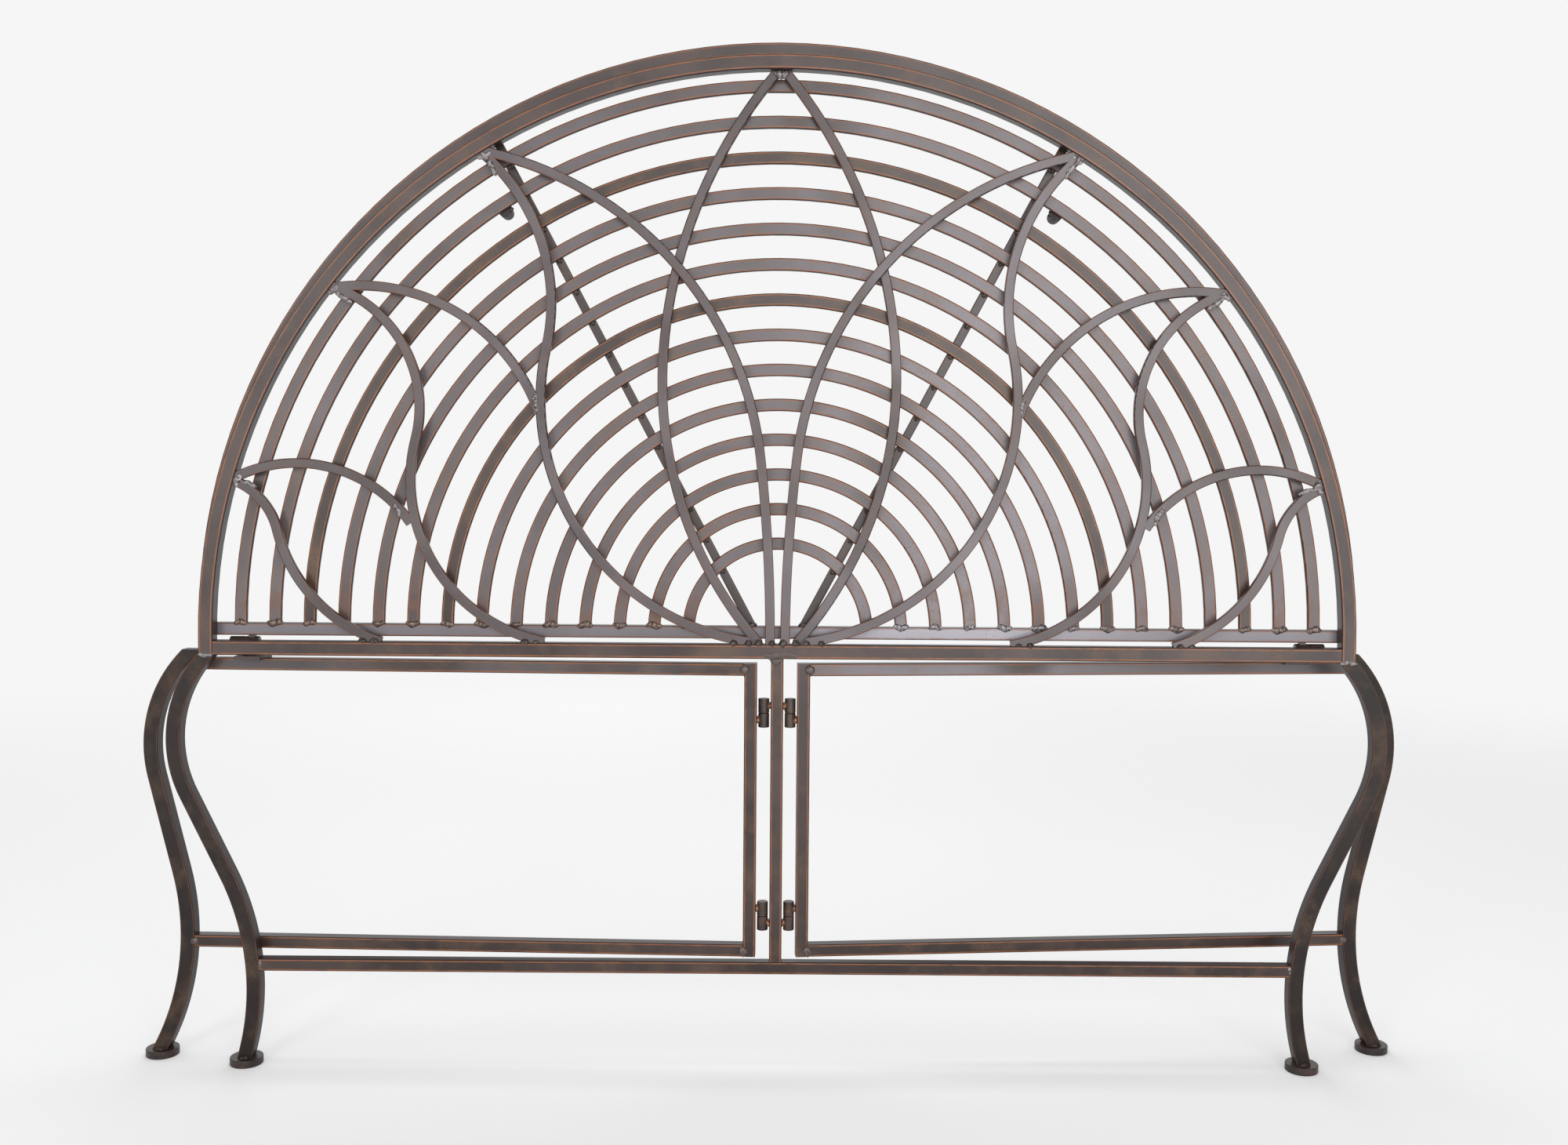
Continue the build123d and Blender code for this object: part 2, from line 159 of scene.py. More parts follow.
def weld_piece(name, body, finish, slot, *groups):
    """One piece of many closed beads: their rings joined by quads, the ends closed by fans."""
    rings = np.concatenate(groups)
    count = len(rings)
    poles = rings[:, [0, -1]].mean(axis=2)
    points = np.concatenate([rings.reshape(count, -1, 3), poles], axis=1)
    spoke = np.arange(AROUND)
    turn = (spoke + 1) % AROUND
    last_ring = (STATIONS - 1) * AROUND
    first_pole = STATIONS * AROUND
    fans = np.concatenate(
        [
            np.stack([turn, spoke, np.full(AROUND, first_pole)], 1),
            np.stack([last_ring + spoke, last_ring + turn, np.full(AROUND, first_pole + 1)], 1),
        ]
    )
    offsets = (np.arange(count) * points.shape[1])[:, None, None]
    sides = (ring_quads(STATIONS, AROUND)[None] + offsets).reshape(-1, 4)
    tips = (fans[None] + offsets).reshape(-1, 3)
    faces = [*sides.tolist(), *tips.tolist()]
    mesh = bpy.data.meshes.new(name)
    mesh.from_pydata(points.reshape(-1, 3), [], faces)
    mesh.polygons.foreach_set("use_smooth", np.ones(len(faces), bool))
    mesh.materials.append(finish)
    mesh.update()
    piece = bpy.data.objects.new(name, mesh)
    bpy.context.scene.collection.objects.link(piece)
    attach(piece, body)


def row(x, y, z):
    """Places with these coordinates, each an array or one number for all of them."""
    return np.stack(np.broadcast_arrays(x, y, z), axis=-1).astype(float)


def round_dirs(angles):
    """Directions out from a centre at these angles in the plane of X and Z, and along a circle there."""
    out = row(np.cos(angles), 0.0, np.sin(angles))
    along = row(-np.sin(angles), 0.0, np.cos(angles))
    return out, along


def with_mirror(rows):
    """Places or directions on the right, followed by their mirror images."""
    rows = np.atleast_2d(np.asarray(rows, float))
    return np.concatenate([rows, rows * (-1.0, 1.0, 1.0)])


def both_sides(places):
    """Places on the right, x counted from the middle of the arch, with their mirror images."""
    return with_mirror(places) + (MIDDLE_X, 0.0, 0.0)


# Finishes

BUMP_STRENGTH = 0.5
# Where the faded paint and the painted sheen of the key softbox show most: the steps in x and z between
# which it grows or is lost, and the share lost
RIGHT_HALF = mm(-60, 140)
FAR_RIGHT = mm(220, 420)
FAR_RIGHT_LOSS = 0.8
HIGH_UP = mm(700, 900)
HIGH_UP_LOSS = 0.6


class Value:
    """A socket that carries a number; arithmetic on it adds Math nodes."""

    def __init__(self, finish, socket):
        self.finish = finish
        self.socket = socket

    def math(self, operation, first, second=None):
        inputs = {0: first} if second is None else {0: first, 1: second}
        return self.finish.node("ShaderNodeMath", inputs, operation=operation)

    def __add__(self, other):
        return self.math("ADD", self, other)

    def __radd__(self, other):
        return self.math("ADD", other, self)

    def __sub__(self, other):
        return self.math("SUBTRACT", self, other)

    def __rsub__(self, other):
        return self.math("SUBTRACT", other, self)

    def __mul__(self, other):
        return self.math("MULTIPLY", self, other)

    def __rmul__(self, other):
        return self.math("MULTIPLY", other, self)

    def __abs__(self):
        return self.math("ABSOLUTE", self)

    def between(self, start, end):
        """0 below start, 1 above end, eased between."""
        inputs = {"Value": self, "From Min": start, "From Max": end}
        return self.finish.node("ShaderNodeMapRange", inputs, interpolation_type="SMOOTHSTEP")

    def window(self, start, full, fade, end):
        """0 below start and above end, 1 from full to fade, eased between."""
        return self.between(start, full) * (1.0 - self.between(fade, end))


class Finish:
    """The node tree of a material, or of the world, being made."""

    def __init__(self, holder):
        self.holder = holder
        holder.use_nodes = True
        self.tree = holder.node_tree
        self.tree.nodes.clear()

    def node(self, kind, inputs=None, out=0, **settings):
        """Add a node: its settings first, then the values or links of its sockets."""
        made = self.tree.nodes.new(kind)
        for key, value in settings.items():
            setattr(made, key, value)
        for key, value in (inputs or {}).items():
            if isinstance(value, Value):
                self.tree.links.new(value.socket, made.inputs[key])
            else:
                made.inputs[key].default_value = value
        return Value(self, made.outputs[out]) if made.outputs else None

    def place(self):
        return self.node("ShaderNodeTexCoord", out="Object")

    def facing(self):
        """How far the surface faces front or back: the size of its own normal's Y."""
        normal = self.node("ShaderNodeTexCoord", out="Normal")
        return abs(self.node("ShaderNodeSeparateXYZ", {0: normal}, out="Y"))

    def along(self, axis):
        """The coordinate of the surface along an axis, in metres."""
        return self.node("ShaderNodeSeparateXYZ", {0: self.place()}, out=axis)

    def wear_and_sheen_zone(self):
        """0 on the left half of the bench, 1 just right of its middle, less at the far right and top."""
        # This mask places the painted sheen of the key softbox, with the faded paint and the rust specks
        x = self.along("X")
        z = self.along("Z")
        right = x.between(*RIGHT_HALF) * (1.0 - FAR_RIGHT_LOSS * x.between(*FAR_RIGHT))
        return right * (1.0 - HIGH_UP_LOSS * z.between(*HIGH_UP))

    def noise(self, size, detail=3.0, roughness=0.55):
        """Noise from 0 to 1 whose blotches are about size metres across."""
        inputs = {"Vector": self.place(), "Scale": 1.0 / size, "Detail": detail, "Roughness": roughness}
        return self.node("ShaderNodeTexNoise", inputs)

    def blend(self, amount, under, over):
        """Colour over laid on colour under by amount.

        The colours of a Mix node are its inputs 6 and 7 and its output 2.
        """
        return self.node("ShaderNodeMix", {0: amount, 6: under, 7: over}, out=2, data_type="RGBA")

    def surface(self, height, distance, **sockets):
        """Close the material with a Principled shader, its bump as deep as distance."""
        inputs = {key.replace("_", " "): value for key, value in sockets.items()}
        bump = {"Height": height, "Distance": distance, "Strength": BUMP_STRENGTH}
        inputs["Normal"] = self.node("ShaderNodeBump", bump)
        shader = self.node("ShaderNodeBsdfPrincipled", inputs)
        self.node("ShaderNodeOutputMaterial", {"Surface": shader})
        return self.holder


def new_finish(name):
    return Finish(bpy.data.materials.new(name))


def colour(red, green, blue):
    """Linear colour for a shader from 8-bit display values."""
    display = np.array([red, green, blue]) / 255.0
    linear = np.where(display <= 0.04045, display / 12.92, ((display + 0.055) / 1.055) ** 2.4)
    return (*linear.tolist(), 1.0)


COPPER = colour(142, 88, 54)
GOLD_BROWN = colour(112, 87, 67)
RUST = colour(80, 48, 38)
RUST_STAIN = colour(110, 76, 60)
PALE_FADE_AND_SHEEN = colour(176, 172, 180)
# Deep brown for the paint's dark edge line and for painted shade on rounded edges and side faces
EDGE_LINE_AND_SHADE = colour(40, 25, 24)


def straight_bar(node, axis):
    """For a straight bar: distance from its middle line along an axis, 0 there and 1 at its edges."""
    column = "XYZ".index(axis)
    centre = middle(node)[column]
    half = half_size(node)[column]
    return lambda f: abs(f.along(axis) - centre) * (1.0 / half)


def half_round_bar(centre_z, radius, half, pitch=None):
    """For a half-round bar: distance from its middle line, 0 there and 1 at its inner and outer edge.

    The distance is |sqrt(x^2 + max(z - centre, 0)^2) - radius| / half. Where a pitch is given, it is
    wrapped round, so that it serves every bar of a row at that pitch.
    """

    def across(f):
        out = f.along("X") - MIDDLE_X
        rise = f.node("ShaderNodeMath", {0: f.along("Z") - centre_z, 1: 0.0}, operation="MAXIMUM")
        reach = f.node("ShaderNodeMath", {0: out * out + rise * rise}, operation="SQRT")
        if pitch:
            limits = {0: reach, 1: radius + 0.5 * pitch, 2: radius - 0.5 * pitch}
            reach = f.node("ShaderNodeMath", limits, operation="WRAP")
        return abs(reach - radius) * (1.0 / half)

    return across


# Steps in n, the square of the normal's Y, for bars with and without a known distance across
FLAT_FACE = (0.40, 0.75)
ROUNDED_FACE = (0.30, 0.75)
ROUNDED_COPPER = (0.60, 0.78, 0.93, 0.995)
# Steps in the distance across a bar
COPPER_LINE = (0.62, 0.74, 0.80, 0.90)
# Where the dark edge line and the painted shade begin across a bar
EDGE_LINE_AND_SHADE_STEPS = (0.82, 0.94)
EDGE_LINE_AND_SHADE_SHARE = 0.85
# Steps in the height above the seat bar
STAINED_RISE = mm(-1, 2, 18, 62)
STAIN_SHARE = 0.6


def bar_paint(
    name,
    deep,
    plain,
    across=None,
    rubbing=0.5,
    edges=0.8,
    fade_and_sheen=0.0,
    pale_from=0.42,
    pits=0.0,
    gloss=0.31,
    specular=0.5,
):
    """Brown paint on bar: clouded ground, smears of gold-brown rubbing, and copper along the edges.

    n is the square of the normal's Y, 1 on a front face and 0 on a side face. Where the distance
    across the bar is known, a copper line runs from about 0.68 to 0.85 of it and a deep brown one
    beyond. Elsewhere the copper lies where a rounded edge begins, at n from 0.7 to 0.96. Side faces
    are deep brown. That deep brown is partly the dark line the paint has at its edges and partly
    painted shade, on the rounded edges and on every face turned away from the front. Where asked,
    the paint is paler in long patches, more so right of the middle: partly faded paint, partly the
    painted sheen of the key softbox. Pitted paint has specks of rust there, and stains of it just
    above the seat bar.
    """
    f = new_finish(name)
    grain = f.noise(2.6 * MM)
    patch = f.noise(38 * MM)
    ground = f.blend(f.noise(90 * MM).between(0.32, 0.68), deep, plain)
    # Paler in patches, more so right of the middle: partly faded paint, partly painted sheen of the key
    # softbox
    if fade_and_sheen:
        pale_patches = f.noise(150 * MM, detail=1.5).between(pale_from, pale_from + 0.2)
        ground = f.blend(pale_patches * (0.3 + 0.7 * f.wear_and_sheen_zone()) * fade_and_sheen, ground, PALE_FADE_AND_SHEEN)
    smear = patch.between(0.45, 0.75) * (0.55 + 0.45 * grain.between(0.4, 0.65)) * rubbing
    ground = f.blend(smear, ground, GOLD_BROWN)
    facing = f.facing()
    squared = facing * facing
    if across is None:
        plane = squared.between(*ROUNDED_FACE)
        line = squared.window(*ROUNDED_COPPER)
    else:
        face = squared.between(*FLAT_FACE)
        span = across(f)
        plane = face * (1.0 - span.between(*EDGE_LINE_AND_SHADE_STEPS))
        line = face * span.window(*COPPER_LINE)
    # Deep brown at the edges and on faces turned from the front: partly the paint's dark edge line, partly
    # painted shade
    ground = f.blend(EDGE_LINE_AND_SHADE_SHARE * (1.0 - plane), ground, EDGE_LINE_AND_SHADE)
    broken = f.noise(14 * MM).between(0.25, 0.6)
    tint = f.blend(line * (0.35 + 0.65 * broken) * edges, ground, COPPER)
    height = 0.3 * f.noise(12 * MM, detail=0.5)
    if pits:
        speck = f.noise(1.9 * MM, detail=2.0).between(0.61, 0.69)
        field = f.noise(26 * MM, detail=2.0).between(0.38, 0.58)
        pit = speck * field * (0.15 + 0.85 * f.wear_and_sheen_zone()) * pits
        tint = f.blend(pit, tint, RUST)
        above_bar = (f.along("Z") - SEAT_BAR_TOP).window(*STAINED_RISE)
        stain = f.noise(20 * MM, detail=2.0).between(0.42, 0.62) * above_bar
        tint = f.blend(STAIN_SHARE * stain, tint, RUST_STAIN)
        height = height - 0.5 * pit
    return f.surface(
        height=height,
        distance=0.06 * MM,
        Base_Color=tint,
        Roughness=gloss + 0.04 * (grain - 0.5) + 0.1 * smear,
        Specular_IOR_Level=specular,
    )


def round_paint(name, deep, plain, rubbing=0.6, gloss=0.32, specular=0.55):
    """Brown paint on barrel, pin, stud and foot: clouded, with specks rubbed through to copper."""
    f = new_finish(name)
    grain = f.noise(2.0 * MM, detail=4.0, roughness=0.7)
    rub = f.noise(11 * MM).between(0.5, 0.74) * grain.between(0.38, 0.62) * rubbing
    ground = f.blend(f.noise(30 * MM).between(0.35, 0.65), deep, plain)
    return f.surface(
        height=grain,
        distance=0.1 * MM,
        Base_Color=f.blend(rub, ground, COPPER),
        Roughness=gloss + 0.15 * (grain - 0.5),
        Specular_IOR_Level=specular,
    )


def weld_paint(name, deep, bright, left=None, gloss=0.28, shine=0.3):
    """Paint over weld metal: dark in the hollows, bright on the crowns, scaly and shiny.

    The dark hollows and bright crowns follow the bead's bumps: painted shade and painted highlight over
    its scale. Where a left colour is given, the crowns on the left half of the bench have it instead, and
    the paler crowns right of the middle carry the painted sheen of the key softbox.
    """
    f = new_finish(name)
    scale = f.noise(3.4 * MM, roughness=0.6)
    # Bright crowns and dark hollows: painted highlight and painted shade; crowns right of the middle paler
    # with the painted sheen
    crown_highlight = bright if left is None else f.blend(f.wear_and_sheen_zone(), left, bright)
    return f.surface(
        height=scale,
        distance=0.3 * MM,
        Base_Color=f.blend(scale.between(0.34, 0.6), deep, crown_highlight),
        Roughness=gloss + 0.2 * (scale - 0.5),
        Metallic=shine,
        Specular_IOR_Level=0.6,
    )


ARCH_ACROSS = half_round_bar(RAIL_TOP, ARCH_RADIUS, 0.5 * BAR)
RIM_ACROSS = half_round_bar(SEAT_CENTRE_Z, RIM_RADIUS, SEAT_BAR_HALF)
SLAT_ACROSS = half_round_bar(SEAT_CENTRE_Z, SLAT_RADII[0], SLAT_HALF, SLAT_PITCH)

FRAME_GROUND = (colour(52, 41, 39), colour(74, 61, 58))
GATE_GROUND = (colour(46, 36, 34), colour(64, 52, 49))
FRAME_WEAR = {"rubbing": 0.5, "edges": 0.95, "specular": 0.48}

ARCH_PAINT = bar_paint("arch_paint", *FRAME_GROUND, ARCH_ACROSS, **FRAME_WEAR)
RAIL_PAINT = bar_paint("rail_paint", *FRAME_GROUND, straight_bar("back_rail", "Z"), **FRAME_WEAR)
STRETCHER_PAINT = bar_paint(
    "stretcher_paint", *GATE_GROUND, straight_bar("stretcher", "Z"), **FRAME_WEAR
)
POST_PAINT = bar_paint("post_paint", *FRAME_GROUND, straight_bar("centre_post", "X"), **FRAME_WEAR)
TRACERY_PAINT = bar_paint(
    "tracery_bar_paint", colour(66, 56, 56), colour(87, 78, 80), rubbing=0.3, edges=0.8, fade_and_sheen=0.25
)
SLAT_PAINT = bar_paint(
    "slat_paint",
    colour(67, 57, 55),
    colour(90, 81, 82),
    SLAT_ACROSS,
    rubbing=0.5,
    edges=0.95,
    fade_and_sheen=0.35,
    pale_from=0.3,
    pits=0.9,
)
# A darker copy of the slat paint for slat_08 and slat_12: painted shade, where their faces tilt down from
# the light
SHADED_SLAT_PAINT = bar_paint(
    "shaded_slat_paint", colour(50, 39, 36), colour(68, 55, 50), SLAT_ACROSS, rubbing=0.6, edges=1.0
)
# Its right half is made pale: partly faded paint, partly painted sheen of the key softbox
SEAT_BAR_PAINT = bar_paint(
    "seat_bar_paint",
    colour(68, 60, 61),
    colour(86, 79, 82),
    straight_bar("seat_bar", "Z"),
    rubbing=0.08,
    edges=0.8,
    fade_and_sheen=1.0,
    pale_from=0.14,
    pits=0.55,
)
RIM_PAINT = bar_paint(
    "rim_paint", colour(56, 46, 44), colour(76, 65, 64), RIM_ACROSS, rubbing=0.4, edges=0.9
)
ROD_PAINT = bar_paint("rod_paint", colour(44, 37, 36), colour(64, 56, 56), rubbing=0.3, edges=0.4)
# A darker copy of the bar paint for the legs: painted shade on the low legs
SHADED_LEG_PAINT = bar_paint(
    "shaded_leg_paint", colour(22, 15, 14), colour(34, 25, 22), rubbing=0.45, edges=0.6, gloss=0.4, specular=0.36
)
TAB_PAINT = bar_paint("tab_paint", *GATE_GROUND, rubbing=0.4, edges=0.6)

# The axis across each bar of a gate, and how much it is made paler in patches, partly faded paint and
# partly painted sheen
GATE_BARS = {"post": ("X", 0.0), "top_rail": ("Z", 0.4), "bottom_rail": ("Z", 0.0)}
GATE_BAR_PAINT = {}
for gate in ("left_gate", "right_gate"):
    for bar, (axis, fade_and_sheen) in GATE_BARS.items():
        node = f"{gate}_{bar}"
        GATE_BAR_PAINT[node] = bar_paint(
            f"{node}_paint", *GATE_GROUND, straight_bar(node, axis), fade_and_sheen=fade_and_sheen, **FRAME_WEAR
        )

STUD_PAINT = round_paint(
    "stud_paint", colour(44, 40, 41), colour(60, 55, 56), rubbing=0.1, gloss=0.55, specular=0.3
)
HINGE_PAINT = round_paint("hinge_barrel_paint", colour(46, 37, 34), colour(68, 54, 46), rubbing=0.5)
FOOT_PAINT = round_paint("foot_pad_paint", colour(38, 30, 28), colour(54, 44, 41), rubbing=0.3, gloss=0.38)

# The right-half crowns of the seat and tack welds are paler with the painted sheen of the key softbox
SEAT_WELD = weld_paint("seat_weld", colour(74, 63, 62), colour(158, 153, 158), left=colour(122, 101, 88))
BRIGHT_WELD = weld_paint("bright_weld", colour(66, 56, 54), colour(146, 139, 140))
DARK_WELD = weld_paint("dark_weld", colour(38, 29, 26), colour(74, 61, 55), gloss=0.34, shine=0.1)
COPPER_WELD = weld_paint("copper_weld", colour(80, 54, 42), colour(150, 110, 86), gloss=0.36)
TACK_WELD = weld_paint(
    "tack_weld", colour(72, 63, 63), colour(90, 82, 84), left=colour(96, 77, 68), gloss=0.32, shine=0.1
)
SMOOTH_WELD = weld_paint("smooth_weld", colour(62, 51, 47), colour(80, 68, 63), gloss=0.42, shine=0.0)

NODE_PAINT = {
    "back_arch": ARCH_PAINT,
    "back_rail": RAIL_PAINT,
    "centre_post": POST_PAINT,
    "stretcher": STRETCHER_PAINT,
    "slat_08": SHADED_SLAT_PAINT,
    "slat_12": SHADED_SLAT_PAINT,
    "seat_bar": SEAT_BAR_PAINT,
    "seat_rim": RIM_PAINT,
    "seat_studs": STUD_PAINT,
    **GATE_BAR_PAINT,
}
KIND_PAINT = {
    "slat_": SLAT_PAINT,
    "_rod": ROD_PAINT,
    "petal": TRACERY_PAINT,
    "barrels": HINGE_PAINT,
    "pins": HINGE_PAINT,
    "feet": FOOT_PAINT,
    "foot": FOOT_PAINT,
    "_leg": SHADED_LEG_PAINT,
    "_tab": TAB_PAINT,
}


def finish_of(name):
    """The paint a node wears: its own, or else the paint of its kind."""
    if name in NODE_PAINT:
        return NODE_PAINT[name]
    return next(paint for kind, paint in KIND_PAINT.items() if kind in name)


for name, obj in NODES.items():
    for slot in obj.material_slots:
        slot.material = finish_of(name)


# Welds of the seat

# Here and below, the middle of a bead lies a little inside the face it is laid on, or just off a corner
FRONT = (0.0, -1.0, 0.0)
BACK = (0.0, 1.0, 0.0)
UP = (0.0, 0.0, 1.0)
ACROSS = (1.0, 0.0, 0.0)

slat_end_x = np.sqrt(SLAT_RADII**2 - SEAT_BAR_HALF**2)
slat_ends = both_sides(row(slat_end_x, SEAT_FRONT + 0.2 * MM, SEAT_BAR_TOP + 0.3 * MM))
weld_piece(
    "slat_end_welds",
    "seat",
    SEAT_WELD,
    "seat_paint",
    beads(slat_ends, ACROSS, FRONT, mm(15.5, 7.0, 2.0), seed=3),
)

# A rod starts at this x on the seat's centre line and rises at this slope; its welds lie on the inner
# side of each slat
ROD_START = 23.8 * MM
ROD_SLOPE = radians(62.0)
ROD_X, ROD_Z = cos(ROD_SLOPE), sin(ROD_SLOPE)
ROD_FOOT_OUT = (0.0, -0.5, 0.87)
weld_radius = SLAT_RADII - SLAT_HALF - 0.8 * MM
rod_run = -ROD_START * ROD_X + np.sqrt(weld_radius**2 - (ROD_START * ROD_Z) ** 2)
rod_weld_x = ROD_START + rod_run * ROD_X
rod_weld_z = SEAT_CENTRE_Z + rod_run * ROD_Z
rod_welds = both_sides(row(rod_weld_x, SLAT_BACK + 0.1 * MM, rod_weld_z))
rod_foot_x = ROD_START + SEAT_BAR_HALF / ROD_Z * ROD_X
rod_feet = both_sides(row(rod_foot_x, SLAT_BACK, SEAT_BAR_TOP + 0.6 * MM))
weld_piece(
    "rod_welds",
    "seat",
    DARK_WELD,
    "seat_paint",
    beads(rod_welds, ACROSS, FRONT, mm(6.0, 5.6, 2.4), lobes=0.0, wander=0.04, seed=5),
    beads(rod_feet, ACROSS, ROD_FOOT_OUT, mm(12.0, 7.0, 2.8), lobes=0.0, wander=0.04, seed=6),
)

STUD_WELD_TURNS = np.radians([20.0, 95.0, 170.0])
stud_out, stud_along = round_dirs(STUD_WELD_TURNS)
stud_radius = half_size("seat_studs")[2]
stud_x = high("seat_studs")[0] - stud_radius - MIDDLE_X
stud_foot = (stud_x, low("seat_studs")[1] + 0.8 * MM, middle("seat_studs")[2])
stud_welds = both_sides(stud_radius * stud_out + stud_foot)
weld_piece(
    "stud_welds",
    "seat",
    DARK_WELD,
    "seat_paint",
    beads(stud_welds, with_mirror(stud_along), BACK, mm(8.0, 4.5, 1.8), seed=8),
)


# Welds of the back frame

FAN_FEET_X = mm(5.8, 18.9, 30.0, 45.5)
OUTER_FEET_X = mm(250.0, 262.0, 418.0, 430.0)
fan_feet = both_sides(row(FAN_FEET_X, FRAME_Y - 5.4 * MM, RAIL_TOP + 0.6 * MM))
outer_feet = both_sides(row(OUTER_FEET_X, FRAME_Y - 5.0 * MM, RAIL_TOP + 0.4 * MM))
weld_piece(
    "tracery_base_welds",
    "frame",
    DARK_WELD,
    "tracery_paint",
    beads(fan_feet, ACROSS, UP, mm(8.0, 6.0, 3.1), lobes=0.0, wander=0.04, seed=7),
    beads(outer_feet, ACROSS, UP, mm(8.5, 6.0, 2.6), lobes=0.0, wander=0.08, seed=9),
)

# Petals meet the arch at these angles; the welds at their tips and in the forks below lie so far inside
TIP_ANGLES = np.radians([58.8, 38.4, 16.6])
TIP_BACK = 4.0 * MM
FORK_BACK = 16.0 * MM
TRACERY_WELD_Y = TRACERY_FRONT + 0.3 * MM
tip_out, tip_along = round_dirs(TIP_ANGLES)
tip_welds = both_sides((WINDOW - TIP_BACK) * tip_out + (0.0, TRACERY_WELD_Y, RAIL_TOP))
fork_welds = both_sides((WINDOW - FORK_BACK) * tip_out + (0.0, TRACERY_WELD_Y, RAIL_TOP))
top_tip = (MIDDLE_X, FRAME_Y - 0.5 * MM, RAIL_TOP + WINDOW - TIP_BACK)
weld_piece(
    "tracery_tip_welds",
    "frame",
    BRIGHT_WELD,
    "tracery_paint",
    beads(tip_welds, with_mirror(tip_along), FRONT, mm(15.0, 7.5, 1.6), seed=11),
    beads(fork_welds, with_mirror(tip_out), FRONT, mm(21.0, 5.0, 1.3), lobes=5.0, seed=10),
    beads(top_tip, ACROSS, FRONT, mm(14.0, 7.0, 2.0), seed=12),
)

JOIN_X = mm(250.0, 392.5)
JOIN_Z = mm(698.0, 586.0)
JOIN_DIRS = ((0.12, 0.0, 1.0), (0.4, 0.0, 0.92))
join_welds = both_sides(row(JOIN_X, TRACERY_WELD_Y, JOIN_Z))
weld_piece(
    "tracery_join_welds",
    "frame",
    BRIGHT_WELD,
    "tracery_paint",
    beads(join_welds, with_mirror(JOIN_DIRS), FRONT, mm(19.0, 6.0, 1.5), lobes=4.0, seed=13),
)

corner_welds = both_sides((ARCH_RADIUS, FRAME_FRONT + 0.3 * MM, RAIL_BOTTOM))
stretcher_end_x = high("stretcher")[0] - MIDDLE_X - 0.5 * MM
stretcher_welds = both_sides((stretcher_end_x, low("stretcher")[1] + 0.4 * MM, middle("stretcher")[2]))
weld_piece(
    "frame_corner_welds",
    "frame",
    BRIGHT_WELD,
    "frame_paint",
    beads(corner_welds, ACROSS, FRONT, mm(17.0, 5.0, 1.2), lobes=3.0, seed=17),
    beads(stretcher_welds, UP, FRONT, mm(12.0, 5.0, 1.0), seed=19),
)

post_top_x = np.add(MIDDLE_X, mm(-3.0, 9.0))
post_top = row(post_top_x, FRAME_FRONT + 0.1 * MM, RAIL_BOTTOM + 3.6 * MM)
post_front = row(MIDDLE_X - 1.0 * MM, low("centre_post")[1] + 0.1 * MM, RAIL_BOTTOM - 2.2 * MM)
weld_piece(
    "post_top_weld",
    "frame",
    SMOOTH_WELD,
    "frame_paint",
    beads(post_top, ACROSS, FRONT, mm(26.0, 7.5, 0.5), lobes=1.0, seed=18),
    beads(post_front, ACROSS, FRONT, mm(13.0, 8.0, 0.9), lobes=1.0, seed=20),
)

# A node wider than this holds two feet; the front of a leg is so far from the middle of its foot
TWO_FEET = 0.5
LEG_FRONT = 7.6 * MM
FOOT_WELD_OUT = (0.0, -0.6, 0.8)


def foot_welds(node):
    """Beads where the leg stands on each foot of a node, on the front of the leg."""
    lowest, highest = low(node), high(node)
    if highest[0] - lowest[0] > TWO_FEET:
        foot_radius = half_size(node)[1]
        x = [lowest[0] + foot_radius, highest[0] - foot_radius]
    else:
        x = [middle(node)[0]]
    places = row(x, middle(node)[1] - LEG_FRONT, highest[2])
    return beads(places, ACROSS, FOOT_WELD_OUT, mm(10.0, 5.0, 1.8), seed=23)


weld_piece("frame_foot_welds", "frame", DARK_WELD, "foot_paint", foot_welds("frame_feet"))


# Welds of the gates

KNUCKLE_HALF = 7.5 * MM
POST_SIDE = 7.6 * MM
HINGE_WELD = mm(5.5, 7.0, 2.2)


def knuckle_levels(node):
    """Heights of the two barrels in a node of hinge barrels."""
    return low(node)[2] + KNUCKLE_HALF, high(node)[2] - KNUCKLE_HALF


post_sides_x = MIDDLE_X + POST_SIDE * np.repeat((-1.0, 1.0), 2)
post_lugs = row(post_sides_x, FRAME_Y - 2.6 * MM, np.tile(knuckle_levels("gate_hinge_barrels"), 2))
weld_piece(
    "post_hinge_welds",
    "frame",
    COPPER_WELD,
    "hinge_paint",
    beads(post_lugs, ACROSS, FRONT, HINGE_WELD, lobes=0.0, seed=29),
)

